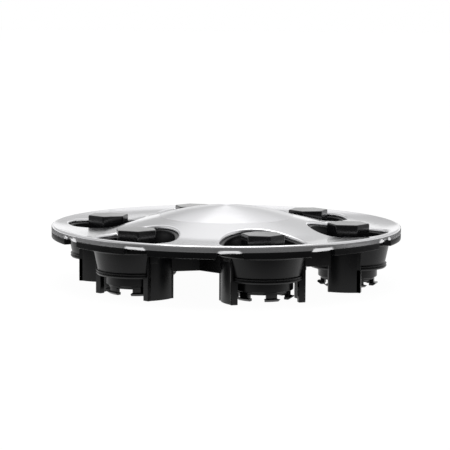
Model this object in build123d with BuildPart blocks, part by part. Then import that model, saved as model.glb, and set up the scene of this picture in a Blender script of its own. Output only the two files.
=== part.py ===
from build123d import *
import os
from math import cos, degrees, radians, sqrt

# Six-lug wheel centre cap, standing on its legs with the face up.
# The origin is on the axis, in the plane of the leg feet. Sizes are in millimetres, angles in degrees.

# Wheel interface
lug_count = 6
bolt_circle = 139.7
nut_thread = 27.0
thread_depth = 0.9

# Overall
rim_radius = 98.4
rim_height = 33.2

# Metal face
sheet = 0.8
dome_radius = 38.0
dome_rise = 5.8
crease_rise = 4.6
trough_drop = 2.3
cone_inset = 30.8
hollow_reach = 7.5
rise_width = 12.3
rise_height = 2.2
rim_bend = 1.6
bend_drop = 1.13
flange_depth = 3.5
hole_radius = 22.8
hole_lip_depth = 1.8

# Crimp tabs of the metal face
tab_width = 13.2
tab_angle = 15.0
tab_start = 2.0
tab_drop = 2.6
tab_slope = 2.0
tab_fold = 2.8
tab_slit = 0.5

# Moulded carrier
skin_gap = 0.1
deck = 2.2
ring_wall = 3.2
ring_depth = 6.9
window_gap = 0.5
seat_gap = 0.15
seat_ledge = 1.9
mouth_wall = 1.7
mouth_taper = 2.7
well_wall = 2.0
well_draft = 2.1
well_depth = 22.3
well_floor = 2.5
lip_height = 2.2
lip_proud = 0.8

# Legs and webs of the carrier
leg_wall = 2.2
leg_proud = 0.8
leg_out_angle = 33.0
leg_in_angle = 14.0
leg_flange = 2.9
leg_flange_wall = 3.0
leg_flange_proud = 1.4
leg_rib = 3.4
web_wall = 1.8
web_depth = 18.7
web_vertex_radius = 54.0

# Lug caps
sleeve_wall = 1.55
sleeve_gap = 0.35
shoulder_gap = 0.3
sleeve_depth = 31.5
hex_sides = 6
hex_flats = 20.6
hex_proud = 2.7
hex_edge = 0.6
crown_wall = 3.0
head_wall = 2.0
collar_reach = 2.2
collar_height = 2.6
foot_count = 6
foot_angle = 34.0
foot_height = 3.5
stem_angle = 24.0
stem_height = 2.1
barb_reach = 1.8
barb_height = 1.3
barb_rise = 0.5
cap_turns = (5.0, 24.0, 58.0, 33.0, 51.0, 2.0)

# Derived places
bolt_radius = bolt_circle / 2
lug_pitch = 360 / lug_count
crease_height = rim_height + crease_rise
apex_height = crease_height + dome_rise
trough_height = rim_height - trough_drop
apex = Vector(0, apex_height)
crease = Vector(dome_radius, crease_height)
cone_foot = Vector(rim_radius - cone_inset, trough_height)
hollow_start = cone_foot + (crease - cone_foot).normalized() * hollow_reach
hollow_end = cone_foot + Vector(hollow_reach, 0)
land_end = rim_radius - rim_bend
trough_end = Vector(land_end - rise_width, trough_height)
rise_radius = (rise_width**2 + rise_height**2) / (2 * rise_height)
flange_bottom = rim_height - flange_depth
tab_top = rim_height - tab_start
tab_bottom = tab_top - tab_drop
tab_knee = rim_radius - tab_slope
tab_inner = tab_knee - tab_fold
tab_sweep = degrees(tab_width / rim_radius)

deck_drop = sheet + skin_gap
ring_upper = rim_radius - deck_drop
ring_inner = ring_upper - ring_wall
ring_bottom = rim_height - ring_depth
mouth_bore = hole_radius + sheet + seat_gap
mouth_outer = mouth_bore + mouth_wall
seat_drop = hole_lip_depth + seat_gap
mouth_bottom = trough_height - seat_drop
well_bore = hole_radius - seat_ledge
well_outer = well_bore + well_wall
well_bottom = rim_height - well_depth
floor_top = well_bottom + well_floor
lip_top = well_bottom + lip_height
well_outer_low = well_outer - well_draft
well_bore_low = well_bore - well_draft
lip_radius = well_outer_low + lip_proud

leg_outer = lip_radius + leg_proud
leg_inner = leg_outer - leg_wall
leg_middle = leg_outer - leg_wall / 2
web_bottom = rim_height - web_depth

sleeve_radius = nut_thread / 2 + sleeve_wall
socket_radius = nut_thread / 2 - thread_depth
sleeve_bottom = rim_height - sleeve_depth
floor_bore = sleeve_radius + sleeve_gap
collar_bottom = floor_top + shoulder_gap
collar_top = collar_bottom + collar_height
collar_radius = sleeve_radius + collar_reach
hex_top = rim_height + hex_proud
hex_spread = 1 / cos(radians(180 / hex_sides))
hex_corner = hex_flats / 2 * hex_spread
pocket_corner = (hex_flats / 2 - head_wall) * hex_spread
barb_radius = sleeve_radius + barb_reach
barb_tip = sleeve_bottom + barb_height
barb_top = barb_tip + barb_rise
foot_pitch = 360 / foot_count
foot_top = sleeve_bottom + foot_height
stem_bottom = foot_top - stem_height


def land_height(radius):
    """Height of the face at a radius on the rise from the trough to the rim."""
    return trough_height + rise_radius - sqrt(rise_radius**2 - (radius - trough_end.X) ** 2)


def crown_line(drop, outer_radius):
    """Draw the face's section, dome, cone, trough and rise, out to a radius, lowered by drop."""
    down = Vector(0, -drop)
    TangentArc(apex + down, crease + down, tangent=(1, 0))
    Line(crease + down, hollow_start + down)
    TangentArc(hollow_start + down, hollow_end + down, tangent=cone_foot - hollow_start)
    Line(hollow_end + down, trough_end + down)
    rise_end = Vector(outer_radius, land_height(outer_radius))
    TangentArc(trough_end + down, rise_end + down, tangent=(1, 0))


def crown_section(upper_drop, lower_drop, upper_radius, wall_points):
    """Close a section between two lowered crowns, joined at the outside through wall_points."""
    lower_radius = wall_points[-1][0]
    crown_line(upper_drop, upper_radius)
    crown_line(lower_drop, lower_radius)
    lower_corner = (lower_radius, land_height(lower_radius) - lower_drop)
    Polyline(*wall_points, lower_corner)
    Line((0, apex_height - upper_drop), (0, apex_height - lower_drop))


def under_crown(drop, outer_radius, bottom):
    """Close a section of all that lies under a lowered crown."""
    crown_line(drop, outer_radius)
    rim_corner = (outer_radius, land_height(outer_radius) - drop)
    Polyline(rim_corner, (outer_radius, bottom), (0, bottom), (0, apex_height - drop))


def radial_plane(angle):
    """Section plane through the wheel's axis, turned by an angle from the X axis."""
    outward = Vector(1, 0, 0).rotate(Axis.Z, angle)
    return Plane(origin=(0, 0, 0), x_dir=outward, z_dir=outward.cross(Vector(0, 0, 1)))


# The crown's section lies midway between two lugs
crown_plane = radial_plane(lug_pitch / 2)

# One crimp tab, centred on the X axis: a strip that slopes in under the rim, with a flat lip
with BuildPart() as tab:
    with BuildSketch(radial_plane(-tab_sweep / 2)):
        with BuildLine():
            Polyline(
                (rim_radius, tab_top),
                (tab_knee, tab_bottom),
                (tab_inner, tab_bottom),
                (tab_inner, tab_bottom + sheet),
                (tab_knee - sheet / 2, tab_bottom + sheet),
                (rim_radius - sheet, tab_top),
                close=True,
            )
        make_face()
    revolve(axis=Axis.Z, revolution_arc=tab_sweep)

# The gap in the rim flange that leaves the tab free to bend
relief_sweep = tab_sweep + 2 * degrees(tab_slit / rim_radius)
with BuildPart() as tab_relief:
    with BuildSketch(radial_plane(-relief_sweep / 2)):
        with Locations((rim_radius, tab_top)):
            Rectangle(2 * sheet + skin_gap, flange_depth, align=(Align.CENTER, Align.MAX))
    revolve(axis=Axis.Z, revolution_arc=relief_sweep)

# Metal face: spun crown, down-turned rim and hole lips, twelve tabs
with BuildPart() as face_plate:
    with BuildSketch(crown_plane):
        with BuildLine():
            skin_edge = (land_end, land_height(land_end) - sheet / 2)
            crown_section(sheet / 2, hole_lip_depth, land_end, [skin_edge])
        make_face()
    revolve(axis=Axis.Z)
    with BuildSketch():
        with PolarLocations(bolt_radius, lug_count):
            Circle(hole_radius + sheet)
    extrude(amount=apex_height, mode=Mode.INTERSECT)
    with BuildSketch(crown_plane):
        with BuildLine():
            bend_start = Vector(land_end, land_height(land_end))
            bend_end = Vector(rim_radius, bend_start.Y - bend_drop)
            TangentArc(bend_start, bend_end, tangent=(rise_radius - rise_height, rise_width))
            flange = (bend_end, (rim_radius, flange_bottom), (rim_radius - sheet, flange_bottom))
            crown_section(0, sheet, land_end, flange)
        make_face()
    revolve(axis=Axis.Z)
    with BuildSketch():
        with PolarLocations(bolt_radius, lug_count):
            Circle(hole_radius)
    extrude(amount=apex_height, mode=Mode.SUBTRACT)
    for side in (-1, 1):
        with PolarLocations(0, lug_count, start_angle=side * tab_angle):
            add(tab_relief.part, mode=Mode.SUBTRACT)
            add(tab.part)

# One well with its legs and web arms, about its own axis, with the wheel's axis towards -X
with BuildPart() as well:
    with BuildSketch(Plane.XZ):
        with BuildLine():
            Polyline(
                (0, apex_height),
                (mouth_outer, apex_height),
                (mouth_outer, trough_height),
                (well_outer, mouth_bottom - mouth_taper),
                (well_outer_low, lip_top),
                (lip_radius, lip_top),
                (lip_radius, well_bottom),
                (0, well_bottom),
                close=True,
            )
        make_face()
    revolve(axis=Axis.Z)

    leg_end = Vector(leg_middle, 0).rotate(Axis.Z, 90 + leg_in_angle)
    web_vertex = Vector(web_vertex_radius, 0).rotate(Axis.Z, lug_pitch / 2) - Vector(bolt_radius, 0)
    rib_end = leg_end + (web_vertex - leg_end).normalized() * leg_rib
    with BuildSketch():
        leg_start = 90 - leg_out_angle
        leg_sweep = leg_out_angle + leg_in_angle
        with BuildLine():
            outer_arc = CenterArc((0, 0), leg_outer, leg_start, leg_sweep)
            inner_arc = CenterArc((0, 0), leg_inner, leg_start, leg_sweep)
            Line(outer_arc @ 0, inner_arc @ 0)
            Line(outer_arc @ 1, inner_arc @ 1)
        make_face()
        with Locations(outer_arc @ 0 + Vector(0, leg_flange_proud)):
            Rectangle(leg_flange_wall, leg_flange, align=(Align.MAX, Align.MAX))
        with BuildLine():
            Line(leg_end, rib_end)
        trace(line_width=web_wall)
        mirror(about=Plane.XZ)
    extrude(amount=rim_height)

    with BuildSketch(Plane.XY.offset(web_bottom)):
        with BuildLine():
            Line(leg_end, web_vertex)
        trace(line_width=web_wall)
        with Locations(web_vertex):
            Circle(web_wall / 2)
        mirror(about=Plane.XZ)
    extrude(amount=crease_height - web_bottom)

# The inside of one well: the drafted bore and the hole in the floor
with BuildPart() as well_void:
    with BuildSketch(Plane.XZ):
        with BuildLine():
            Polyline(
                (0, apex_height),
                (well_bore, apex_height),
                (well_bore, mouth_bottom),
                (well_bore_low, floor_top),
                (floor_bore, floor_top),
                (floor_bore, 0),
                (0, 0),
                (0, apex_height),
            )
        make_face()
    revolve(axis=Axis.Z)

# The seats for the metal lips: the wells' mouths, down to a ledge that follows the face
with BuildPart() as lip_seats:
    with BuildSketch():
        with PolarLocations(bolt_radius, lug_count):
            Circle(mouth_bore)
    extrude(amount=apex_height)
    with BuildSketch(crown_plane):
        with BuildLine():
            under_crown(seat_drop, rim_radius, 0)
        make_face()
    revolve(axis=Axis.Z, mode=Mode.SUBTRACT)

# The notch in the ring wall that a tab folds into, with a ledge for its lip to hook under
window_sweep = tab_sweep + 2 * degrees(window_gap / rim_radius)
with BuildPart() as window:
    with BuildSketch(radial_plane(-window_sweep / 2)):
        ledge_radius = tab_knee - sheet
        ledge_height = tab_bottom + sheet + skin_gap
        notch_bottom = ring_bottom - window_gap
        inner_radius = min(ring_inner, tab_inner) - window_gap
        outer_radius = rim_radius + window_gap
        with BuildLine():
            Polyline(
                (outer_radius, tab_top + skin_gap),
                (ledge_radius, tab_top + skin_gap),
                (ledge_radius, ledge_height),
                (inner_radius, ledge_height),
                (inner_radius, notch_bottom),
                (outer_radius, notch_bottom),
                close=True,
            )
        make_face()
    revolve(axis=Axis.Z, revolution_arc=window_sweep)

# Moulded carrier: wells, legs and webs under a deck that backs the metal face
with BuildPart() as carrier:
    with PolarLocations(bolt_radius, lug_count):
        add(well.part)
    with BuildSketch(crown_plane):
        with BuildLine():
            under_crown(deck_drop + deck / 2, ring_upper, 0)
        make_face()
    revolve(axis=Axis.Z, mode=Mode.INTERSECT)
    with BuildSketch(crown_plane):
        with BuildLine():
            ring_points = (
                (ring_upper, land_height(ring_upper) - deck_drop),
                (ring_upper, flange_bottom - skin_gap),
                (rim_radius, flange_bottom - skin_gap),
                (rim_radius, ring_bottom),
                (ring_inner, ring_bottom),
            )
            crown_section(deck_drop, deck_drop + deck, ring_upper, ring_points)
        make_face()
    revolve(axis=Axis.Z)
    with PolarLocations(bolt_radius, lug_count):
        add(well_void.part, mode=Mode.SUBTRACT)
    add(lip_seats.part, mode=Mode.SUBTRACT)
    for side in (-1, 1):
        with PolarLocations(0, lug_count, start_angle=side * tab_angle):
            add(window.part, mode=Mode.SUBTRACT)

# The gaps between a lug cap's snap feet, centred on the X axis: narrow below, wide beside the stems
with BuildPart() as foot_gap:
    for sweep, bottom, top in (
        (foot_pitch - foot_angle, 0, stem_bottom),
        (foot_pitch - stem_angle, stem_bottom, foot_top),
    ):
        with BuildSketch(radial_plane(-sweep / 2)):
            with Locations((0, bottom)):
                Rectangle(barb_radius + sleeve_gap, top - bottom, align=(Align.MIN, Align.MIN))
        revolve(axis=Axis.Z, revolution_arc=sweep)

# One lug cap about its own axis: hollow hex head, collar, sleeve and snap feet round a blind socket
with BuildPart() as lug_cap:
    with BuildSketch(Plane.XY.offset(collar_top)):
        RegularPolygon(hex_corner, hex_sides)
    extrude(amount=hex_top - collar_top)
    chamfer(lug_cap.faces().sort_by(Axis.Z)[-1].edges(), hex_edge)
    with BuildSketch(Plane.XZ):
        with BuildLine():
            Polyline(
                (0, collar_top),
                (collar_radius, collar_top),
                (collar_radius, collar_bottom),
                (sleeve_radius, collar_bottom),
                (sleeve_radius, barb_top),
                (barb_radius, barb_tip),
                (sleeve_radius, sleeve_bottom),
                (0, sleeve_bottom),
                close=True,
            )
        make_face()
    revolve(axis=Axis.Z)
    with BuildSketch(Plane.XY.offset(sleeve_bottom)):
        Circle(socket_radius)
    extrude(amount=collar_bottom - sleeve_bottom, mode=Mode.SUBTRACT)
    with BuildSketch(Plane.XY.offset(collar_bottom)):
        RegularPolygon(pocket_corner, hex_sides)
    extrude(amount=hex_top - crown_wall - collar_bottom, mode=Mode.SUBTRACT)
    with PolarLocations(0, foot_count, start_angle=foot_pitch / 2):
        add(foot_gap.part, mode=Mode.SUBTRACT)

os.makedirs("parts", exist_ok=True)
face_plate.part.label = "face_plate"
export_step(face_plate.part, "parts/face_plate.step")
carrier.part.label = "carrier"
export_step(carrier.part, "parts/carrier.step")

# The six caps stand in their wells at the turns they were left at
for index, turn in enumerate(cap_turns):
    with BuildPart() as seated_cap:
        with PolarLocations(bolt_radius, 1, start_angle=index * lug_pitch, rotate=False):
            add(lug_cap.part, rotation=(0, 0, turn))
    cap_name = f"lug_cap_{index + 1}"
    seated_cap.part.label = cap_name
    export_step(seated_cap.part, f"parts/{cap_name}.step")
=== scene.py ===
"""Looks of a six-lug wheel centre cap: a spun metal face, a black moulded carrier and six turning lug caps."""

import logging
import math
from abc import ABC, abstractmethod
from collections.abc import Callable, Iterator, Sequence
from contextlib import contextmanager
from dataclasses import dataclass, replace
from enum import Enum

import bmesh
import bpy
from bpy.types import Material, Node, NodeSocket, NodeTree, Object
from mathutils import Matrix, Vector


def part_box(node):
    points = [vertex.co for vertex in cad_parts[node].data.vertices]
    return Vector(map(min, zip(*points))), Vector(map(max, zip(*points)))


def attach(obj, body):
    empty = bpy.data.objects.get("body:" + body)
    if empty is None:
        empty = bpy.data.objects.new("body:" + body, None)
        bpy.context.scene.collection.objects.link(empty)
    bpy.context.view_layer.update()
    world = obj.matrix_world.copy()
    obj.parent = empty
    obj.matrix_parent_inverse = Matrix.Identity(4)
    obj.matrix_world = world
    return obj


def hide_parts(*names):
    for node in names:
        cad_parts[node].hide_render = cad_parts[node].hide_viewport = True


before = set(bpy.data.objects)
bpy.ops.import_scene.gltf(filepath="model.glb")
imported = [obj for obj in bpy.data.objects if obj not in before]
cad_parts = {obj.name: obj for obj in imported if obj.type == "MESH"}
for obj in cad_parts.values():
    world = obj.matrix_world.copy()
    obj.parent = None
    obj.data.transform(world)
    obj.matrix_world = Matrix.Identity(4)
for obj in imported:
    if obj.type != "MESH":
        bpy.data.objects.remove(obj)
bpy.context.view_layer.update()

MM = 0.001
HEX_SIDES = 6
# Edges that turn by more than this are rounded.
SHARP_DEG = 25.0
# Lines closer to parallel than this never meet.
PARALLEL = 1e-9
# Noise keeps to the middle of its range, so this part of it is spread over a finish's own range.
NOISE_LOW, NOISE_HIGH = 0.3, 0.7
log = logging.getLogger("centre_cap")


class Body(Enum):
    """Rigid bodies that pieces ride on."""

    BASE = "base"


class Slot(Enum):
    """Material slots of the record."""

    FACE = "face"
    CARRIER = "carrier"
    CAP = "lug_cap"


def linear(hex_colour: str) -> tuple[float, float, float, float]:
    """Turn an sRGB hex colour into linear light.

    Args:
        hex_colour: Colour such as "#1A1A1B".

    Returns:
        Linear red, green and blue, and an alpha of 1.
    """
    channels = [int(hex_colour[i:i + 2], 16) / 255 for i in (1, 3, 5)]
    straight = [c / 12.92 if c <= 0.04045 else ((c + 0.055) / 1.055) ** 2.4 for c in channels]
    return (*straight, 1.0)


def add_node(tree: NodeTree, kind: str, inputs: dict | None = None, **settings) -> Node:
    """Add a node with its settings, values and links.

    Args:
        tree: Node tree that gets the node.
        kind: Blender's own name of the node's type.
        inputs: Input name or number to a value, or to the socket, or the node with its first output, that feeds it.
        settings: Properties of the node itself.

    Returns:
        The new node.
    """
    node = tree.nodes.new(kind)
    for name, value in settings.items():
        setattr(node, name, value)
    for key, value in (inputs or {}).items():
        if isinstance(value, (Node, NodeSocket)):
            tree.links.new(value.outputs[0] if isinstance(value, Node) else value, node.inputs[key])
        else:
            node.inputs[key].default_value = value
    return node


@contextmanager
def editing(piece: Object) -> Iterator[None]:
    """Hold one piece open in edit mode, with nothing else selected.

    Args:
        piece: Mesh object to edit.

    Yields:
        Nothing; the mode is left at the end.
    """
    bpy.ops.object.select_all(action="DESELECT")
    piece.select_set(True)
    bpy.context.view_layer.objects.active = piece
    bpy.ops.object.mode_set(mode="EDIT")
    bpy.ops.mesh.select_mode(type="EDGE")
    yield
    bpy.ops.object.mode_set(mode="OBJECT")


def blank_piece() -> Object:
    """Add an empty mesh object at the origin and return it."""
    bpy.ops.object.add(type="MESH")
    return bpy.context.object


def modify(piece: Object, kind: str, **settings: float) -> None:
    """Give the active piece a modifier and apply it.

    Args:
        piece: The active mesh object.
        kind: Blender's own name of the modifier's type.
        settings: Properties of the modifier.
    """
    bpy.ops.object.modifier_add(type=kind)
    modifier = piece.modifiers[-1]
    for name, value in settings.items():
        setattr(modifier, name, value)
    bpy.ops.object.modifier_apply(modifier=modifier.name)


def join_pieces(pieces: Sequence[Object]) -> Object:
    """Join pieces into the last of them.

    Args:
        pieces: Mesh objects to join.

    Returns:
        The joined piece.
    """
    bpy.ops.object.select_all(action="DESELECT")
    for piece in pieces:
        piece.select_set(True)
    bpy.context.view_layer.objects.active = pieces[-1]
    bpy.ops.object.join()
    return pieces[-1]


def pick_edges(piece: Object, wanted: Callable[[Vector, Vector], bool]) -> None:
    """Select, in edit mode, the edges that pass a test on their two ends.

    Args:
        piece: Mesh object in edit mode.
        wanted: Test on an edge's two end points.
    """
    bpy.ops.mesh.select_all(action="DESELECT")
    mesh = bmesh.from_edit_mesh(piece.data)
    for edge in mesh.edges:
        if wanted(edge.verts[0].co, edge.verts[1].co):
            edge.select_set(True)
    bmesh.update_edit_mesh(piece.data)


def turn_faces(inside: bool = False) -> None:
    """Turn all faces of the piece in edit mode outwards, or inwards."""
    bpy.ops.mesh.select_all(action="SELECT")
    bpy.ops.mesh.normals_make_consistent(inside=inside)


def weld_all(distance: float) -> None:
    """Merge the points of the piece in edit mode that lie within a distance."""
    bpy.ops.mesh.select_all(action="SELECT")
    bpy.ops.mesh.remove_doubles(threshold=distance)


def round_sharp(width: float, facets: int) -> None:
    """Round the sharp edges of the piece in edit mode.

    Args:
        width: Width of the rounding on each side of the edge.
        facets: Number of facets across it.
    """
    bpy.ops.mesh.select_all(action="DESELECT")
    bpy.ops.mesh.edges_select_sharp(sharpness=math.radians(SHARP_DEG))
    bpy.ops.mesh.bevel(offset=width, segments=facets)


def copy_round(count: int) -> None:
    """Copy all of the piece in edit mode round the Z axis.

    Args:
        count: Number that there are in the end, with the first.
    """
    bpy.ops.mesh.select_all(action="SELECT")
    bpy.ops.mesh.spin(steps=count - 1, dupli=True, angle=2 * math.pi * (count - 1) / count,
                      center=(0, 0, 0), axis=(0, 0, 1))


def flat_radius(point: Vector) -> float:
    """Distance of a point from the Z axis."""
    return math.hypot(point.x, point.y)


def polar(radius: float, angle: float, height: float = 0.0) -> Vector:
    """Point at a distance from the Z axis, at an angle in radians from the X axis."""
    return Vector((radius * math.cos(angle), radius * math.sin(angle), height))


def lathe_on(profile: Sequence[tuple[float, float]], centre: Sequence[float] = (0, 0, 0)) -> None:
    """Carry the selected round loop along a profile about an upright axis, in edit mode.

    Args:
        profile: Radius and height of the selected loop, and then of each new loop.
        centre: Point on the axis.
    """
    radius, height = profile[0]
    for new_radius, new_height in profile[1:]:
        scale = new_radius / radius
        bpy.ops.mesh.extrude_edges_move()
        bpy.ops.transform.resize(value=(scale, scale, 1), center_override=centre)
        bpy.ops.transform.translate(value=(0, 0, new_height - height))
        radius, height = new_radius, new_height


def sweep_profile(piece: Object, profile: Sequence[tuple[float, float]], sweep_deg: float,
                  steps: int, middle_deg: float = 0.0) -> None:
    """Add a closed sector to a piece in edit mode: a section swept about the Z axis.

    Args:
        piece: Mesh object in edit mode.
        profile: Corners of the section, as radius and height.
        sweep_deg: Angle that the sector spans.
        steps: Number of straight runs in the sweep.
        middle_deg: Angle of the sector's middle from the X axis.
    """
    start = math.radians(middle_deg + sweep_deg / 2)
    bpy.ops.mesh.select_all(action="DESELECT")
    bpy.ops.mesh.primitive_circle_add(vertices=len(profile), fill_type="NGON")
    mesh = bmesh.from_edit_mesh(piece.data)
    corners = [vertex for vertex in mesh.verts if vertex.select]
    for vertex, (radius, height) in zip(corners, profile):
        vertex.co = polar(radius, start, height)
    bmesh.update_edit_mesh(piece.data)
    bpy.ops.mesh.spin(steps=steps, angle=math.radians(sweep_deg), center=(0, 0, 0), axis=(0, 0, 1))


def settle(piece: Object, crease_deg: float = 32.0) -> None:
    """Turn a piece modelled in millimetres into metres and smooth its gentle edges, with flats kept flat.

    Args:
        piece: Finished mesh object.
        crease_deg: Edges that turn by more than this stay sharp.
    """
    with editing(piece):
        bpy.ops.mesh.select_all(action="SELECT")
        bpy.ops.transform.resize(value=(MM, MM, MM), center_override=(0, 0, 0))
    bpy.ops.object.shade_smooth_by_angle(angle=math.radians(crease_deg))
    modify(piece, "WEIGHTED_NORMAL", keep_sharp=True)


class Finish(ABC):
    """A surface finish that makes one node material."""

    label: str

    def material(self) -> Material:
        """Make the finish's material on first use.

        Returns:
            The material.
        """
        made = bpy.data.materials.get(self.label)
        if made is None:
            made = bpy.data.materials.new(self.label)
            made.use_nodes = True
            made.node_tree.nodes.clear()
            shader = self.shade(made.node_tree)
            add_node(made.node_tree, "ShaderNodeOutputMaterial", {"Surface": shader})
        return made

    @abstractmethod
    def shade(self, tree: NodeTree) -> Node:
        """Build the finish's nodes.

        Args:
            tree: The material's empty node tree.

        Returns:
            The shader's node.
        """

    def dress(self, piece: Object) -> None:
        """Give a piece this finish alone."""
        piece.data.materials.clear()
        piece.data.materials.append(self.material())


@dataclass(frozen=True)
class SpunAluminium(Finish):
    """Bright aluminium sheet, spun and brushed in rings: a soft mirror that smears across the rings.

    Brush lines are about 0.1 mm apart. They are drawn as coarse as they need to be to show.
    """

    label: str = "spun_aluminium"
    colour: str = "#F2F2F4"
    dome_roughness: float = 0.33
    land_roughness: float = 0.18
    roughness_spread: float = 0.06
    dome_radius_mm: float = 38.0
    crease_mm: float = 0.4
    anisotropy: float = 0.82
    smear_turn: float = 0.25
    groove_mm: float = 1.1
    groove_depth_mm: float = 0.0015
    groove_strength: float = 0.5
    groove_detail: float = 3.0
    streaks_round: float = 5.0

    def shade(self, tree: NodeTree) -> Node:
        """Build rings that follow the sheet's section, broken into arcs round the axis.

        Args:
            tree: The material's empty node tree.

        Returns:
            The shader's node.
        """
        place = add_node(tree, "ShaderNodeTexCoord").outputs["Object"]
        axes = add_node(tree, "ShaderNodeSeparateXYZ", {0: place})
        flat = add_node(tree, "ShaderNodeCombineXYZ", {"X": axes.outputs["X"], "Y": axes.outputs["Y"]})
        radius = add_node(tree, "ShaderNodeVectorMath", {0: flat}, operation="LENGTH").outputs["Value"]
        along = add_node(tree, "ShaderNodeMath", {0: radius, 1: axes.outputs["Z"]}, operation="SUBTRACT")
        rings = add_node(tree, "ShaderNodeMath", {0: along, 1: 1 / (self.groove_mm * MM)}, operation="MULTIPLY")
        heading = add_node(tree, "ShaderNodeVectorMath", {0: flat}, operation="NORMALIZE")
        turn = add_node(tree, "ShaderNodeVectorMath", {0: heading, "Scale": self.streaks_round}, operation="SCALE")
        lift = add_node(tree, "ShaderNodeCombineXYZ", {"Z": rings})
        spot = add_node(tree, "ShaderNodeVectorMath", {0: turn, 1: lift}, operation="ADD")
        streak = add_node(tree, "ShaderNodeTexNoise", {
            "Vector": spot, "Scale": 1.0, "Detail": self.groove_detail})
        turned = add_node(tree, "ShaderNodeMapRange", {
            "Value": radius, "From Min": (self.dome_radius_mm - self.crease_mm) * MM,
            "From Max": (self.dome_radius_mm + self.crease_mm) * MM,
            "To Min": self.dome_roughness, "To Max": self.land_roughness})
        uneven = add_node(tree, "ShaderNodeMapRange", {
            "Value": streak, "From Min": NOISE_LOW, "From Max": NOISE_HIGH,
            "To Min": -self.roughness_spread / 2, "To Max": self.roughness_spread / 2})
        rough = add_node(tree, "ShaderNodeMath", {0: turned, 1: uneven}, operation="ADD")
        bump = add_node(tree, "ShaderNodeBump", {
            "Height": streak, "Strength": self.groove_strength, "Distance": self.groove_depth_mm * MM})
        tangent = add_node(tree, "ShaderNodeTangent", direction_type="RADIAL", axis="Z")
        return add_node(tree, "ShaderNodeBsdfPrincipled", {
            "Base Color": linear(self.colour), "Metallic": 1.0, "Roughness": rough,
            "Anisotropic": self.anisotropy, "Anisotropic Rotation": self.smear_turn,
            "Normal": bump, "Tangent": tangent})


@dataclass(frozen=True)
class MouldedBlack(Finish):
    """Black plastic from a satin tool: a dark body under a soft, slightly uneven gloss.

    The gloss drifts over a centimetre or so where the plastic flowed. The tool's grain is about 0.1 mm, and is drawn
    as coarse as it needs to be to show.
    """

    label: str = "moulded_black"
    colour: str = "#18181A"
    roughness: float = 0.28
    roughness_spread: float = 0.08
    flow_mm: float = 14.0
    grain_mm: float = 0.9
    grain_depth_mm: float = 0.006
    grain_strength: float = 0.4
    noise_detail: float = 2.0
    gloss: float = 0.32

    def shade(self, tree: NodeTree) -> Node:
        """Build a broad change of gloss where the plastic flowed, and a fine tool grain.

        Args:
            tree: The material's empty node tree.

        Returns:
            The shader's node.
        """
        place = add_node(tree, "ShaderNodeTexCoord").outputs["Object"]
        flow, grain = [add_node(tree, "ShaderNodeTexNoise", {
            "Vector": place, "Scale": 1 / (size_mm * MM), "Detail": self.noise_detail})
            for size_mm in (self.flow_mm, self.grain_mm)]
        rough = add_node(tree, "ShaderNodeMapRange", {
            "Value": flow, "From Min": NOISE_LOW, "From Max": NOISE_HIGH,
            "To Min": self.roughness - self.roughness_spread / 2, "To Max": self.roughness + self.roughness_spread / 2})
        bump = add_node(tree, "ShaderNodeBump", {
            "Height": grain, "Strength": self.grain_strength, "Distance": self.grain_depth_mm * MM})
        return add_node(tree, "ShaderNodeBsdfPrincipled", {
            "Base Color": linear(self.colour), "Roughness": rough, "Specular IOR Level": self.gloss,
            "Normal": bump})


@dataclass(frozen=True)
class PolishedBlack(MouldedBlack):
    """The same plastic from a smoother tool: a tighter gloss, as the lug caps have."""

    label: str = "moulded_black_caps"
    roughness: float = 0.14
    gloss: float = 0.35


@dataclass(frozen=True)
class SweepPaper(Finish):
    """White studio paper: white to the eye; in gloss it shows a painted reflection, a glow that is bright beside the
    object and dim where the room begins.
    """

    front: tuple[float, float, float]
    label: str = "sweep_paper"
    colour: str = "#454545"
    glow: float = 0.97
    # Painted reflection: how brightly the paper glows to mirrors beside the object and further out, and how far behind
    # the axis that glow is centred.
    painted_reflection_near: float = 0.80
    painted_reflection_far: float = 0.05
    painted_reflection_back_mm: float = 80.0
    bright_to_mm: float = 182.0
    dim_from_mm: float = 222.0

    def shade(self, tree: NodeTree) -> Node:
        """Build matt paper with a lift that only the eye and a mirror pick up: an even white to the eye, and a painted
        reflection to a mirror.

        Args:
            tree: The material's empty node tree.

        Returns:
            The shader's node.
        """
        place = add_node(tree, "ShaderNodeTexCoord").outputs["Object"]
        middle = [-axis * self.painted_reflection_back_mm * MM for axis in self.front]
        away = add_node(tree, "ShaderNodeVectorMath", {0: place, 1: middle}, operation="DISTANCE")
        fade = add_node(tree, "ShaderNodeMapRange", {
            "Value": away.outputs["Value"], "From Min": self.bright_to_mm * MM, "From Max": self.dim_from_mm * MM,
            "To Min": self.painted_reflection_near, "To Max": self.painted_reflection_far}, interpolation_type="SMOOTHSTEP")
        rays = add_node(tree, "ShaderNodeLightPath")
        # Painted reflection: the paper glows to mirror rays alone, bright beside the object and dim further out.
        painted_reflection = add_node(tree, "ShaderNodeMath", {0: rays.outputs["Is Glossy Ray"], 1: fade}, operation="MULTIPLY")
        seen = add_node(tree, "ShaderNodeMath", {
            0: rays.outputs["Is Camera Ray"], 1: rays.outputs["Is Transmission Ray"]}, operation="MAXIMUM")
        lift = add_node(tree, "ShaderNodeMath", {0: seen, 1: self.glow}, operation="MULTIPLY")
        # The lift now holds both the even white that the eye sees and the painted reflection that a mirror sees.
        lift = add_node(tree, "ShaderNodeMath", {0: lift, 1: painted_reflection}, operation="MAXIMUM")
        paper = add_node(tree, "ShaderNodeBsdfDiffuse", {"Color": linear(self.colour)})
        light = add_node(tree, "ShaderNodeEmission", {"Strength": lift})
        return add_node(tree, "ShaderNodeAddShader", {0: paper, 1: light})


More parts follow.
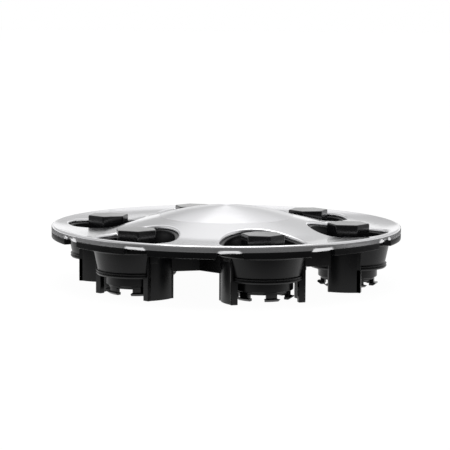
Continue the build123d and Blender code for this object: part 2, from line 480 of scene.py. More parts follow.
@dataclass
class FacePlate:
    """Spun metal face, modelled in millimetres: dome, cone, trough, rolled holes, rim bead and crimp tabs."""

    bolt_radius: float
    lug_count: int
    rim_radius: float
    apex_height: float
    rim_height: float = 33.2
    dome_radius: float = 38.0
    dome_rise: float = 5.8
    crease_blend: float = 0.5
    trough_drop: float = 2.3
    cone_inset: float = 30.8
    hollow_reach: float = 7.5
    rise_width: float = 12.3
    rise_height: float = 2.2
    rim_bend: float = 1.6
    bead_radius: float = 1.19
    hole_radius: float = 22.8
    hole_roll: float = 1.3
    lip_depth: float = 1.8
    flange_depth: float = 3.5
    sheet: float = 0.8
    tab_start: float = 2.4
    tab_angle_deg: float = 15.0
    tab_width: float = 13.2
    tab_drop: float = 1.3
    tab_slope: float = 1.0
    knee_drop: float = 0.9
    knee_slope: float = 1.6
    tab_fold: float = 2.2
    tab_ease: float = 1.8
    hole_points: int = 144
    land_rings: int = 18
    roll_steps: int = 6
    dome_rings: int = 22
    weld: float = 0.005

    def __post_init__(self) -> None:
        """Work out the section's own places from its sizes."""
        self.hole = Vector((self.bolt_radius, 0, 0))
        self.trough_height = self.rim_height - self.trough_drop
        self.crease_height = self.apex_height - self.dome_rise
        self.land_start = self.dome_radius + self.crease_blend
        self.land_end = self.rim_radius - self.rim_bend
        self.trough_end = self.land_end - self.rise_width
        self.cone_foot = self.rim_radius - self.cone_inset
        self.cone_slope = (self.crease_height - self.trough_height) / (self.cone_foot - self.dome_radius)
        self.trough_start = self.cone_foot + self.hollow_reach
        self.hollow_ball = self.hollow_reach / math.tan(math.atan(self.cone_slope) / 2)
        self.rise_ball = (self.rise_width ** 2 + self.rise_height ** 2) / (2 * self.rise_height)

    def land_height(self, radius: float) -> float:
        """Height of the land at a radius.

        Args:
            radius: Distance from the axis.

        Returns:
            Height of the cone, of the hollow at its foot, of the trough's floor or of the rise to the rim.
        """
        hollow_start = self.cone_foot - self.hollow_reach * math.cos(math.atan(self.cone_slope))
        if radius < hollow_start:
            return self.crease_height - self.cone_slope * (radius - self.dome_radius)
        if radius < self.trough_start:
            return self.trough_height + self.sag(self.hollow_ball, radius - self.trough_start)
        if radius < self.trough_end:
            return self.trough_height
        return self.trough_height + self.sag(self.rise_ball, radius - self.trough_end)

    def sag(self, ball: float, offset: float) -> float:
        """Height of a hollow arc above its lowest point, at a distance beside it."""
        return ball - math.sqrt(ball ** 2 - offset ** 2)

    def crown_height(self, radius: float) -> float:
        """Height of the face at a radius.

        Args:
            radius: Distance from the axis.

        Returns:
            Height of the dome, of the land, or of the short hollow between them.
        """
        ball = (self.dome_radius ** 2 + self.dome_rise ** 2) / (2 * self.dome_rise)
        offset = radius - self.dome_radius
        blend = self.crease_blend
        if offset >= blend:
            return self.land_height(radius)
        dome = self.apex_height - self.sag(ball, radius)
        if offset <= -blend:
            return dome
        dome_slope = self.dome_radius / (ball - self.dome_rise)
        nearer = dome if offset < 0 else self.land_height(radius)
        return nearer + (dome_slope - self.cone_slope) * (blend - abs(offset)) ** 2 / (4 * blend)

    def land_edge(self) -> list[Vector]:
        """Plan points on the edge of one lug's share of the land, one for each point of its hole.

        Returns:
            Points in the order of the hole's own points, with the share's corners and the tabs' ends among them.
        """
        half = math.pi / self.lug_count
        inner, outer = self.land_start, self.land_end
        points = []
        for index in range(self.hole_points):
            angle = 2 * math.pi * index / self.hole_points
            ray = polar(1, angle)
            along = self.hole.dot(ray)
            reaches = [math.sqrt(along ** 2 + outer ** 2 - self.hole.length_squared) - along]
            inside = along ** 2 + inner ** 2 - self.hole.length_squared
            if inside > 0 and along < 0:
                reaches.append(-along - math.sqrt(inside))
            for side in (-half, half):
                edge = polar(1, side)
                crossing = ray.cross(edge).z
                if abs(crossing) > PARALLEL:
                    reaches.append(-self.hole.cross(edge).z / crossing)
            points.append(self.hole + ray * min(reach for reach in reaches if reach > 0))
        tab, ends = math.radians(self.tab_angle_deg), self.tab_width / self.rim_radius / 2
        ease = self.tab_ease / self.rim_radius
        places = [(inner, half), (outer, half), (outer, tab - ends), (outer, tab + ends),
                  (outer, tab - ends + ease), (outer, tab + ends - ease)]
        for radius, angle in places + [(radius, -angle) for radius, angle in places]:
            anchor = polar(radius, angle)
            nearest = min(range(self.hole_points), key=lambda index: (points[index] - anchor).length)
            points[nearest] = anchor
        return points

    def build(self) -> Object:
        """Model the plate.

        Returns:
            The finished piece, in metres.
        """
        piece = self.build_land()
        with editing(piece):
            self.roll_hole(piece)
            self.repeat_land()
            self.raise_dome(piece)
            self.turn_rim(piece)
            turn_faces()
        modify(piece, "SOLIDIFY", thickness=self.sheet, offset=-1, use_even_offset=True)
        settle(piece)
        return piece

    def dress(self, piece: Object) -> None:
        """Give the plate its spun finish."""
        SpunAluminium().dress(piece)

    def build_land(self) -> Object:
        """Model one lug's share of the land round its hole.

        Returns:
            The piece, in millimetres.
        """
        start = self.hole_radius + self.hole_roll
        bpy.ops.mesh.primitive_circle_add(vertices=self.hole_points, radius=start, location=self.hole)
        bpy.ops.object.transform_apply()
        piece = bpy.context.object
        piece.name = "spun_face"
        edge_points = self.land_edge()
        with editing(piece):
            bpy.ops.mesh.select_all(action="SELECT")
            bpy.ops.mesh.extrude_edges_move()
            mesh = bmesh.from_edit_mesh(piece.data)
            for vertex in [vertex for vertex in mesh.verts if vertex.select]:
                heading = vertex.co - self.hole
                share = math.atan2(heading.y, heading.x) / (2 * math.pi)
                vertex.co = edge_points[round(share * self.hole_points) % self.hole_points]
            bmesh.update_edit_mesh(piece.data)
            pick_edges(piece, lambda a, b: self.at_hole(a) != self.at_hole(b))
            bpy.ops.mesh.subdivide(number_cuts=self.land_rings)
            mesh = bmesh.from_edit_mesh(piece.data)
            for vertex in mesh.verts:
                vertex.co.z = self.crown_height(flat_radius(vertex.co))
            bmesh.update_edit_mesh(piece.data)
        return piece

    def at_hole(self, point: Vector) -> bool:
        """Tell whether a point of the first lug's share lies on the edge of its hole."""
        return (point.xy - self.hole.xy).length < self.hole_radius + self.hole_roll + self.weld

    def roll_hole(self, piece: Object) -> None:
        """Roll the hole's edge down into a short lip.

        Args:
            piece: The land, in edit mode.
        """
        pick_edges(piece, lambda a, b: self.at_hole(a) and self.at_hole(b))
        profile = [(self.hole_radius + self.hole_roll, 0.0)]
        for step in range(1, self.roll_steps + 1):
            turn = math.radians(90 * step / self.roll_steps)
            profile.append((self.hole_radius + self.hole_roll * (1 - math.sin(turn)),
                            self.hole_roll * (math.cos(turn) - 1)))
        lathe_on(profile + [(self.hole_radius, -self.lip_depth)], self.hole)

    def repeat_land(self) -> None:
        """Copy the share round the axis, once for each other lug, and weld the seams."""
        copy_round(self.lug_count)
        weld_all(self.weld)

    def raise_dome(self, piece: Object) -> None:
        """Draw the land's inner edge in and up into the dome.

        Args:
            piece: The welded land, in edit mode.
        """
        start = self.land_start
        pick_edges(piece, lambda a, b: max(flat_radius(a), flat_radius(b)) < start + self.weld)
        radii = [start - self.crease_blend * 2 * step / self.roll_steps for step in range(self.roll_steps + 1)]
        radii += [radii[-1] * (1 - step / self.dome_rings) for step in range(1, self.dome_rings)]
        lathe_on([(radius, self.crown_height(radius)) for radius in radii])
        bpy.ops.mesh.extrude_edges_move()
        bpy.ops.transform.translate(value=(0, 0, self.apex_height - self.crown_height(radii[-1])))
        bpy.ops.mesh.merge(type="CENTER")

    def turn_rim(self, piece: Object) -> None:
        """Turn the outer edge over a bead into the flange and fold the crimp tabs under it.

        Args:
            piece: The crown, in edit mode.
        """
        start, ball = self.land_end, self.bead_radius
        pick_edges(piece, lambda a, b: min(flat_radius(a), flat_radius(b)) > start - self.weld)
        climb = math.asin(self.rise_width / self.rise_ball)
        height = self.crown_height(start)
        profile = [(start, height)]
        steps = 2 * self.roll_steps
        for step in range(1, steps + 1):
            lean = climb - (climb + math.pi / 2) * step / steps
            profile.append((min(start + ball * (math.sin(climb) - math.sin(lean)), self.rim_radius),
                            height + ball * (math.cos(lean) - math.cos(climb))))
        lathe_on(profile + [(self.rim_radius, self.rim_height - self.tab_start)])
        folds = ((self.tab_slope, self.flange_depth - self.tab_start, self.tab_drop),
                 (self.knee_slope, 0, self.knee_drop), (self.tab_fold, 0, 0))
        for inward, plain_drop, tab_drop in folds:
            bpy.ops.mesh.extrude_edges_move()
            self.fold_tabs(piece, inward, plain_drop, tab_drop)
        weld_all(self.weld)

    def fold_tabs(self, piece: Object, inward: float, plain_drop: float, tab_drop: float) -> None:
        """Lower the selected rim loop, and draw it in where the tabs are.

        Args:
            piece: The crown, in edit mode.
            inward: Distance that the tabs move towards the axis.
            plain_drop: Distance to lower the flange between the tabs.
            tab_drop: Distance to lower the tabs.
        """
        mesh = bmesh.from_edit_mesh(piece.data)
        for vertex in [vertex for vertex in mesh.verts if vertex.select]:
            share = self.tab_share(vertex.co)
            scale = 1 - share * inward / flat_radius(vertex.co)
            vertex.co.x *= scale
            vertex.co.y *= scale
            vertex.co.z -= plain_drop + share * (tab_drop - plain_drop)
        bmesh.update_edit_mesh(piece.data)

    def tab_share(self, point: Vector) -> float:
        """Tell how far a point of the rim is folded.

        Args:
            point: Point of the rim loop.

        Returns:
            1 on a crimp tab, 0 between the tabs, eased at the tabs' ends.
        """
        pitch = 360 / self.lug_count
        angle = math.degrees(math.atan2(point.y, point.x)) % pitch
        offset = abs(math.radians(min(angle, pitch - angle) - self.tab_angle_deg)) * self.rim_radius
        ease = (self.tab_width / 2 - offset) / self.tab_ease
        return min(1.0, max(0.0, ease))


@dataclass
class LugCap:
    """Captive lug cap, modelled in millimetres about its own axis: hex head, collar, sleeve, thread and snap feet.

    The thread's start above the feet and half its width are shares of its pitch.
    """

    hex_flats: float = 20.6
    hex_top: float = 35.9
    hex_edge: float = 0.7
    hex_facets: int = 3
    crown_wall: float = 3.0
    head_wall: float = 2.0
    collar_radius: float = 17.25
    collar_top: float = 16.3
    collar_bottom: float = 13.7
    edge: float = 0.35
    sleeve_radius: float = 15.05
    thread_root: float = 13.4
    thread_tip: float = 12.6
    thread_pitch: float = 2.0
    thread_turns: int = 3
    thread_start: float = 0.7
    thread_half: float = 0.35
    foot_top: float = 5.2
    stem_bottom: float = 3.1
    sleeve_bottom: float = 1.7
    barb_radius: float = 16.85
    barb_tip: float = 3.0
    barb_top: float = 3.5
    foot_count: int = 6
    foot_deg: float = 30.0
    stem_deg: float = 24.0
    foot_steps: int = 6
    foot_edge: float = 0.12
    round_points: int = 72

    def build(self) -> Object:
        """Model one cap at the origin.

        Returns:
            The finished piece, in metres.
        """
        cap = join_pieces([self.build_feet(), self.build_thread(), self.build_body()])
        settle(cap)
        return cap

    def add_hex(self, flats: float, height: float) -> float:
        """Add a level hexagon of edges about the axis.

        Args:
            flats: Width across its flats.
            height: Height that it lies at.

        Returns:
            Distance of its corners from the axis.
        """
        corner = flats / 2 / math.cos(math.pi / HEX_SIDES)
        bpy.ops.mesh.primitive_circle_add(
            vertices=HEX_SIDES, radius=corner, location=(0, 0, height), rotation=(0, 0, math.pi / HEX_SIDES))
        return corner

    def build_body(self) -> Object:
        """Model the hex head, the collar and the sleeve as one skin.

        Returns:
            The skin, in millimetres.
        """
        corner = self.add_hex(self.hex_flats, self.collar_top)
        bpy.ops.object.transform_apply()
        piece = bpy.context.object
        edge = self.edge
        with editing(piece):
            bpy.ops.mesh.select_all(action="SELECT")
            bpy.ops.mesh.extrude_edges_move()
            bpy.ops.transform.translate(value=(0, 0, self.hex_top - self.collar_top))
            bpy.ops.mesh.edge_face_add()
            round_sharp(self.hex_edge, self.hex_facets)
            bpy.ops.mesh.primitive_circle_add(
                vertices=self.round_points, radius=self.collar_radius - edge, location=(0, 0, self.collar_top))
            pick_edges(piece, lambda a, b: max(a.z, b.z) < self.collar_top + edge / 2)
            bpy.ops.mesh.bridge_edge_loops()
            pick_edges(piece, lambda a, b: min(flat_radius(a), flat_radius(b)) > self.sleeve_radius)
            lathe_on([
                (self.collar_radius - edge, self.collar_top), (self.collar_radius, self.collar_top - edge),
                (self.collar_radius, self.collar_bottom + edge), (self.collar_radius - edge, self.collar_bottom),
                (self.sleeve_radius, self.collar_bottom), (self.sleeve_radius, self.foot_top + edge),
                (self.sleeve_radius - edge, self.foot_top), (self.thread_root + edge, self.foot_top),
                (self.thread_root, self.foot_top + edge), (self.thread_root, self.collar_bottom)])
            self.add_hex(self.hex_flats - 2 * self.head_wall, self.collar_bottom)
            pick_edges(piece, lambda a, b: self.at_roof(a) and self.at_roof(b))
            bpy.ops.mesh.bridge_edge_loops()
            pick_edges(piece, lambda a, b: self.at_roof(a) and self.at_roof(b)
                       and max(flat_radius(a), flat_radius(b)) < corner)
            bpy.ops.mesh.extrude_edges_move()
            bpy.ops.transform.translate(value=(0, 0, self.hex_top - self.crown_wall - self.collar_bottom))
            bpy.ops.mesh.edge_face_add()
            turn_faces()
        return piece

    def at_roof(self, point: Vector) -> bool:
        """Tell whether a point lies at the top of the threaded socket."""
        return abs(point.z - self.collar_bottom) < self.edge / 2 and flat_radius(point) < self.sleeve_radius - self.edge

    def build_thread(self) -> Object:
        """Model the thread as a ridge wound up inside the sleeve.

        Returns:
            The ridge, in millimetres.
        """
        start = self.foot_top + self.thread_pitch * self.thread_start
        half = self.thread_pitch * self.thread_half
        root = self.thread_root + self.edge
        ridge = [(root, start - half), (self.thread_tip, start), (root, start + half)]
        bpy.ops.mesh.primitive_circle_add(vertices=len(ridge))
        piece = bpy.context.object
        for vertex, (radius, height) in zip(piece.data.vertices, ridge):
            vertex.co = (radius, 0, height)
        steps = self.round_points // 2
        modify(piece, "SCREW", screw_offset=self.thread_pitch, iterations=self.thread_turns, steps=steps,
               render_steps=steps)
        with editing(piece):
            bpy.ops.mesh.select_all(action="SELECT")
            bpy.ops.mesh.fill_holes(sides=len(ridge))
            turn_faces()
        return piece

    def build_feet(self) -> Object:
        """Model one snap foot with its stem and copy it round the sleeve.

        Returns:
            All the feet, in millimetres.
        """
        piece = blank_piece()
        inner, sleeve, stem_top = self.thread_tip, self.sleeve_radius, self.foot_top + self.edge
        with editing(piece):
            sweep_profile(piece, [
                (inner, self.sleeve_bottom), (sleeve, self.sleeve_bottom), (self.barb_radius, self.barb_tip),
                (self.barb_radius, self.stem_bottom), (inner, self.stem_bottom)], self.foot_deg, self.foot_steps)
            sweep_profile(piece, [
                (inner, self.barb_tip), (self.barb_radius - self.edge, self.barb_tip), (sleeve, self.barb_top),
                (sleeve, stem_top), (inner, stem_top)], self.stem_deg, self.foot_steps)
            turn_faces()
            round_sharp(self.foot_edge, 1)
            copy_round(self.foot_count)
        return piece


@dataclass
class LugSet:
    """Six lug caps in their wells, each left at its own turn."""

    bolt_radius: float
    turns_deg: tuple[float, ...] = (5.0, 24.0, 58.0, 33.0, 51.0, 2.0)

    def build(self) -> list[Object]:
        """Model one cap and seat a copy in each well.

        Returns:
            The caps, in the order of the wells.
        """
        first = LugCap().build()
        caps = []
        for index, turn in enumerate(self.turns_deg):
            bpy.ops.object.select_all(action="DESELECT")
            first.select_set(True)
            bpy.context.view_layer.objects.active = first
            bpy.ops.object.duplicate()
            cap = bpy.context.object
            angle = 2 * math.pi * index / len(self.turns_deg)
            cap.location = polar(self.bolt_radius * MM, angle)
            cap.rotation_euler.z = math.radians(turn)
            bpy.ops.object.transform_apply()
            cap.name = f"turning_cap_{index + 1}"
            caps.append(cap)
        bpy.data.objects.remove(first)
        return caps

    def dress(self, caps: list[Object]) -> None:
        """Give every cap its finish."""
        for cap in caps:
            PolishedBlack().dress(cap)


@dataclass
class Carrier:
    """Black moulding behind the face, modelled in millimetres: deck, notched ring, six wells, arc legs and webs.

    The lip under each well is two runs of points, a root on the well's wall and two beads. Each point is a distance
    outwards from the wall or from the lip's radius, and a height over the well's bottom.
    """

    face: FacePlate
    deck_drop: float = 0.9
    deck: float = 2.2
    deck_land_rings: int = 8
    deck_dome_rings: int = 10
    ring_inner: float = 94.3
    ring_bottom: float = 26.3
    ring_step: float = 29.6
    ring_shoulder: float = 30.6
    ring_steps: int = 14
    window_gap: float = 0.5
    hook_radius: float = 95.6
    hook_height: float = 30.3
    hook_wall: float = 1.1
    mouth_bore: float = 23.75
    mouth_outer: float = 25.45
    mouth_bottom: float = 25.2
    mouth_edge: float = 0.5
    mouth_hollow: float = 0.4
    seat_drop: float = 1.95
    well_bore: float = 20.9
    well_outer: float = 22.9
    well_draft: float = 2.1
    draft_drop: float = 4.5
    well_bottom: float = 11.8
    floor_top: float = 13.4
    floor_bore: float = 15.4
    skirt_radius: float = 16.4
    skirt_bottom: float = 6.6
    lip_radius: float = 21.6
    lip_root: tuple[tuple[float, float], ...] = ((0.0, 2.95), (0.15, 2.75))
    lip_beads: tuple[tuple[float, float], ...] = (
        (-0.25, 2.65), (0.0, 2.4), (0.0, 2.15), (-0.4, 1.6), (-0.4, 1.4), (0.0, 1.15), (0.0, 0.75), (-0.6, 0.0))
    leg_outer: float = 22.4
    leg_inner: float = 20.2
    leg_draft: float = 1.3
    leg_out_deg: float = 29.0
    leg_in_deg: float = 15.0
    leg_steps: int = 8
    flange_wall: float = 3.0
    flange_low: float = 3.8
    flange_step: float = 12.8
    flange_high: float = 0.9
    flange_proud: float = 1.0
    rib: float = 1.2
    web_wall: float = 1.8
    web_bottom: float = 14.5
    web_vertex_radius: float = 58.0
    pad_deg: float = 71.0
    pad_lug: int = 4
    pad_bottom: float = 20.2
    pad_face: float = 23.2
    pad_top: float = 26.0
    pad_sweep_deg: float = 12.0
    pad_steps: int = 4
    edge: float = 0.3
    edge_facets: int = 2
    crown_mark: float = 100.0
    round_points: int = 96

    def build(self) -> Object:
        """Model the moulding from its five kinds of part.

        Returns:
            The finished piece, in metres.
        """
        carrier = join_pieces([
            self.build_deck(), self.build_ring(), self.build_wells(), self.build_pad(), self.build_legs()])
        carrier.name = "moulded_carrier"
        settle(carrier)
        return carrier

    def dress(self, piece: Object) -> None:
        """Give the moulding its satin black."""
        MouldedBlack().dress(piece)

    def meet_crown(self, piece: Object) -> None:
        """Bring the heights that are marked as depths under the crown to their true places.

        Args:
            piece: Mesh object in edit mode, with the marked points high above the part.
        """
        mesh = bmesh.from_edit_mesh(piece.data)
        for vertex in mesh.verts:
            if vertex.co.z > self.crown_mark / 2:
                vertex.co.z += self.face.crown_height(flat_radius(vertex.co)) - self.crown_mark
        bmesh.update_edit_mesh(piece.data)

    def seat_all(self, piece: Object) -> None:
        """Move what was modelled about one well's axis to the first well, and copy it for each lug.

        Args:
            piece: Mesh object in edit mode.
        """
        bpy.ops.mesh.select_all(action="SELECT")
        bpy.ops.transform.translate(value=self.face.hole)
        self.meet_crown(piece)
        copy_round(self.face.lug_count)
        turn_faces()

    def break_edges(self) -> None:
        """Round the sharp edges of the piece in edit mode."""
        turn_faces()
        round_sharp(self.edge, self.edge_facets)

    def build_deck(self) -> Object:
        """Model the deck that backs the face, with a hole for each well.

        Returns:
            The deck, in millimetres.
        """
        shape = replace(self.face, hole_radius=self.mouth_bore + self.deck_drop, hole_roll=0.0,
                        hole_points=self.round_points, land_rings=self.deck_land_rings, dome_rings=self.deck_dome_rings)
        piece = shape.build_land()
        with editing(piece):
            shape.repeat_land()
            shape.raise_dome(piece)
            turn_faces(inside=True)
            bpy.ops.transform.translate(value=(0, 0, -self.deck_drop))
        modify(piece, "SOLIDIFY", thickness=self.deck, offset=-1)
        return piece

    def build_ring(self) -> Object:
        """Model the ring wall: a hoop above, and a run of wall between each two tabs.

        Returns:
            The ring, in millimetres.
        """
        rim, inner, hook = self.face.rim_radius, self.ring_inner, self.hook_height
        runs = 2 * self.face.lug_count
        notch_deg = math.degrees((self.face.tab_width + 2 * self.window_gap) / rim)
        upper, top = rim - self.deck_drop, self.ring_step + self.deck
        piece = blank_piece()
        with editing(piece):
            sweep_profile(piece, [
                (inner, self.ring_bottom), (rim, self.ring_bottom), (rim, self.ring_step), (upper, self.ring_step),
                (upper, top), (inner, self.ring_shoulder)], 360 / runs - notch_deg, self.ring_steps)
            self.break_edges()
            copy_round(runs)
            turn_faces()
            bpy.ops.mesh.select_all(action="DESELECT")
            bpy.ops.mesh.primitive_circle_add(vertices=2 * self.round_points, radius=inner, location=(0, 0, hook))
            lathe_on([
                (inner, hook), (self.hook_radius, hook), (self.hook_radius, hook + self.hook_wall),
                (upper, hook + self.hook_wall), (upper, top), (inner, self.ring_shoulder), (inner, hook)])
            weld_all(self.face.weld)
            turn_faces()
        return piece

    def build_wells(self) -> Object:
        """Model one drafted well with its seat, beaded lip and floor, and copy it for each lug.

        Returns:
            The wells, in millimetres.
        """
        edge, low = self.edge, self.well_bottom
        top, seat = self.crown_mark - self.deck_drop - edge, self.crown_mark - self.seat_drop
        low_outer, low_bore = self.well_outer - self.well_draft, self.well_bore - self.well_draft
        root = [(low_outer + out, low + rise) for out, rise in self.lip_root]
        beads = [(self.lip_radius + out, low + rise) for out, rise in self.lip_beads]
        piece = blank_piece()
        with editing(piece):
            bpy.ops.mesh.primitive_circle_add(
                vertices=self.round_points, radius=self.mouth_outer, location=(0, 0, top))
            lathe_on([
                (self.mouth_outer, top), (self.mouth_outer, self.mouth_bottom + self.mouth_edge),
                (self.mouth_outer - self.mouth_edge, self.mouth_bottom),
                (self.well_outer + self.mouth_hollow, self.mouth_bottom),
                (self.well_outer, self.mouth_bottom - self.mouth_hollow), *root, *beads,
                (self.skirt_radius + edge, low), (self.skirt_radius, low - edge),
                (self.skirt_radius, self.skirt_bottom + edge), (self.skirt_radius - edge, self.skirt_bottom),
                (self.floor_bore + edge, self.skirt_bottom), (self.floor_bore, self.skirt_bottom + edge),
                (self.floor_bore, self.floor_top - edge), (self.floor_bore + edge, self.floor_top),
                (low_bore - edge, self.floor_top), (low_bore, self.floor_top + edge),
                (self.well_bore, self.crown_mark - self.draft_drop), (self.well_bore, seat - edge),
                (self.well_bore + edge, seat), (self.mouth_bore, seat), (self.mouth_bore, top),
                (self.mouth_outer, top)])
            weld_all(self.face.weld)
            self.seat_all(piece)
        return piece

    def build_legs(self) -> Object:
        """Model one well's leg with its flange, rib and web, mirror it, and copy the pair for each lug.

        Returns:
            The legs and webs, in millimetres.
        """
        end = polar((self.leg_outer + self.leg_inner) / 2, math.radians(90 + self.leg_in_deg))
        outer_end = polar(self.leg_outer, math.radians(90 - self.leg_out_deg))
        vertex = polar(self.web_vertex_radius, math.pi / self.face.lug_count) - self.face.hole
        heading = (vertex - end).normalized()
        turn = math.atan2(heading.y, heading.x)
        top = self.crown_mark - self.deck_drop - self.deck / 2
        piece = blank_piece()
        with editing(piece):
            sweep_profile(piece, [
                (self.leg_inner, 0), (self.leg_outer, 0), (self.leg_outer, top),
                (self.leg_inner + self.leg_draft, top)], self.leg_out_deg + self.leg_in_deg, self.leg_steps,
                90 + (self.leg_in_deg - self.leg_out_deg) / 2)
            for depth, height in ((self.flange_low, self.flange_step), (self.flange_high, top)):
                bpy.ops.mesh.primitive_cube_add(size=1, scale=(self.flange_wall, depth, height), location=(
                    outer_end.x - self.flange_wall / 2, outer_end.y + self.flange_proud - depth / 2, height / 2))
            for reach, bottom in ((self.rib, 0), ((vertex - end).length + self.web_wall / 2, self.web_bottom)):
                spot = end + heading * reach / 2
                bpy.ops.mesh.primitive_cube_add(
                    size=1, scale=(reach + self.web_wall / 2, self.web_wall, top - bottom),
                    location=(spot.x, spot.y, (top + bottom) / 2), rotation=(0, 0, turn))
            self.break_edges()
            bpy.ops.mesh.select_all(action="SELECT")
            bpy.ops.mesh.duplicate()
            bpy.ops.transform.resize(value=(1, -1, 1), center_override=(0, 0, 0))
            self.seat_all(piece)
        return piece

    def build_pad(self) -> Object:
        """Model the small pad high on the outer face of one leg.

        Returns:
            The pad, in millimetres.
        """
        root = self.leg_outer - self.edge
        piece = blank_piece()
        with editing(piece):
            sweep_profile(piece, [
                (root, self.pad_bottom), (self.pad_face, self.pad_bottom), (self.pad_face, self.pad_top),
                (root, self.pad_top)], self.pad_sweep_deg, self.pad_steps, self.pad_deg)
            self.break_edges()
            bpy.ops.mesh.select_all(action="SELECT")
            bpy.ops.transform.translate(value=self.face.hole)
        piece.rotation_euler.z = 2 * math.pi * self.pad_lug / self.face.lug_count
        bpy.ops.object.transform_apply()
        return piece


@dataclass
class PhotoCamera:
    """Camera at the photograph's place: low, in front of the cap and a little to the right."""

    azimuth_deg: float = 13.85
    elevation_deg: float = 6.86
    distance_mm: float = 1037.0
    focal_px: float = 1834.0
    frame_px: float = 450.0
    sensor_mm: float = 36.0
    roll_deg: float = 0.38
    rim_plane_mm: float = 33.2
    aim_right_mm: float = -0.73
    aim_up_mm: float = -0.91

    def front(self) -> Vector:
        """Level direction from the object to the camera."""
        return polar(1, math.radians(self.azimuth_deg - 90))

    def right(self) -> Vector:
        """Level direction to the picture's right."""
        return polar(1, math.radians(self.azimuth_deg))

    def build(self) -> Object:
        """Add the camera and make it the scene's own.

        Returns:
            The camera object.
        """
        rise = math.radians(self.elevation_deg)
        centre = Vector((0, 0, self.rim_plane_mm))
        back = self.front() * math.cos(rise) + Vector((0, 0, math.sin(rise)))
        place = centre + back * self.distance_mm
        aim = centre + self.right() * self.aim_right_mm + Vector((0, 0, self.aim_up_mm))
        bpy.ops.object.camera_add(location=place * MM)
        camera = bpy.context.object
        facing = (aim - place).to_track_quat("-Z", "Y").to_matrix()
        roll = Matrix.Rotation(math.radians(self.roll_deg), 3, "Z")
        camera.rotation_euler = (facing @ roll).to_euler()
        camera.data.sensor_width = self.sensor_mm
        camera.data.lens = self.focal_px / self.frame_px * self.sensor_mm
        bpy.context.scene.camera = camera
        return camera


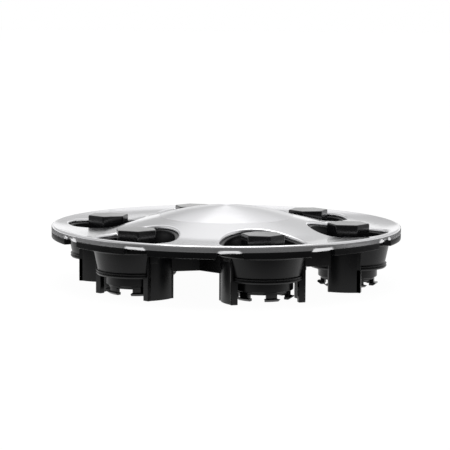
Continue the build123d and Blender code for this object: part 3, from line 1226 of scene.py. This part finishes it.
@dataclass
class Studio:
    """White sweep with a softbox bank overhead, a grey gap between the two and the dim room in front."""

    camera: PhotoCamera
    floor_radius_mm: float = 9000.0
    floor_points: int = 96
    room_level: float = 0.20
    white_from: float = 0.0
    room_from: float = 0.50
    gap_left: float = 0.50
    gap_right: float = 0.64
    gap_turn: float = 0.15
    backdrop_top: float = 0.13
    gap_from: float = 0.24
    gap_to: float = 0.38
    bank_from: float = 0.52
    bank_half: float = 0.30
    bank_end: float = 0.70
    bank_fade: float = 0.4
    softbox_mm: float = 1200.0
    softbox_height_mm: float = 1500.0
    softbox_watts: float = 9.0

    def build(self) -> None:
        """Add the floor, the world and the softbox."""
        bpy.ops.mesh.primitive_circle_add(
            vertices=self.floor_points, radius=self.floor_radius_mm * MM, fill_type="NGON")
        floor = bpy.context.object
        floor.name = "floor"
        SweepPaper(front=tuple(self.camera.front())).dress(floor)
        self.light_room()
        bpy.ops.object.light_add(type="AREA", location=(0, 0, self.softbox_height_mm * MM))
        softbox = bpy.context.object
        softbox.data.size = self.softbox_mm * MM
        softbox.data.energy = self.softbox_watts
        bpy.context.scene.view_settings.view_transform = "Standard"

    def light_room(self) -> None:
        """Make the world white at the backdrop and the bank, grey between them, dim on the camera's side."""
        world = bpy.data.worlds.new("studio")
        world.use_nodes = True
        tree = world.node_tree
        tree.nodes.clear()
        look = add_node(tree, "ShaderNodeTexCoord").outputs["Generated"]
        height = add_node(tree, "ShaderNodeSeparateXYZ", {0: look}).outputs["Z"]
        side, ahead = [add_node(tree, "ShaderNodeVectorMath", {
            0: look, 1: way}, operation="DOT_PRODUCT").outputs["Value"]
            for way in (self.camera.right(), self.camera.front())]
        aside = add_node(tree, "ShaderNodeMath", {0: side}, operation="ABSOLUTE")
        # Each row eases one direction between two places, from the level at the first to the level at the second.
        eases = (
            (side, (-self.gap_turn, self.gap_left), (self.gap_turn, self.gap_right)),
            (height, (self.backdrop_top, 1.0), (self.gap_from, 0.0)),
            (height, (self.gap_to, 0.0), (self.bank_from, 1.0)),
            (aside, (self.bank_half, 1.0), (self.bank_end, self.bank_fade)),
            (ahead, (self.white_from, 1.0), (self.room_from, self.room_level)))
        gap, backdrop, bank, reach, room = [
            add_node(tree, "ShaderNodeMapRange", {
                "Value": value, "From Min": first, "From Max": last, "To Min": before, "To Max": after,
            }, interpolation_type="SMOOTHSTEP") for value, (first, before), (last, after) in eases]
        backdrop = add_node(tree, "ShaderNodeMath", {0: backdrop, 1: gap}, operation="MAXIMUM")
        bank = add_node(tree, "ShaderNodeMath", {0: bank, 1: reach}, operation="MULTIPLY")
        white = add_node(tree, "ShaderNodeMath", {0: backdrop, 1: bank}, operation="MAXIMUM")
        level = add_node(tree, "ShaderNodeMath", {0: white, 1: room}, operation="MINIMUM")
        rays = add_node(tree, "ShaderNodeLightPath")
        seen = add_node(tree, "ShaderNodeMath", {
            0: rays.outputs["Is Camera Ray"], 1: rays.outputs["Is Transmission Ray"]}, operation="MAXIMUM")
        strength = add_node(tree, "ShaderNodeMath", {0: level, 1: seen}, operation="MAXIMUM")
        glow = add_node(tree, "ShaderNodeBackground", {"Color": linear("#FFFFFF"), "Strength": strength})
        add_node(tree, "ShaderNodeOutputWorld", {"Surface": glow})
        bpy.context.scene.world = world


def stand_for(piece: Object, node: str, body: str) -> None:
    """Let a modelled piece stand for a CAD node.

    Args:
        piece: The finished piece.
        node: Name of the CAD node that it replaces.
        body: Body that it moves with.
    """
    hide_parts(node)
    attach(piece, body)
    log.info("%s stands for %s on %s", piece.name, node, body)


def main() -> None:
    """Build the scene, piece by piece."""
    logging.basicConfig(level=logging.INFO, format="%(name)s: %(message)s")
    bpy.ops.object.select_all(action="DESELECT")
    camera = PhotoCamera()
    camera.build()
    Studio(camera).build()
    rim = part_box("face_plate")[1] / MM
    first_cap = [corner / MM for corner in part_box("lug_cap_1")]
    bolt_radius = (first_cap[0][0] + first_cap[1][0]) / 2
    lugs = LugSet(bolt_radius)
    plate = FacePlate(bolt_radius, len(lugs.turns_deg), rim_radius=rim[0], apex_height=rim[2])
    face = plate.build()
    plate.dress(face)
    stand_for(face, "face_plate", Body.BASE.value)
    caps = lugs.build()
    lugs.dress(caps)
    for index, cap in enumerate(caps, start=1):
        stand_for(cap, f"lug_cap_{index}", f"lug_cap_{index}")
    carrier = Carrier(plate)
    moulding = carrier.build()
    carrier.dress(moulding)
    stand_for(moulding, "carrier", Body.BASE.value)


if __name__ == "__main__":
    main()
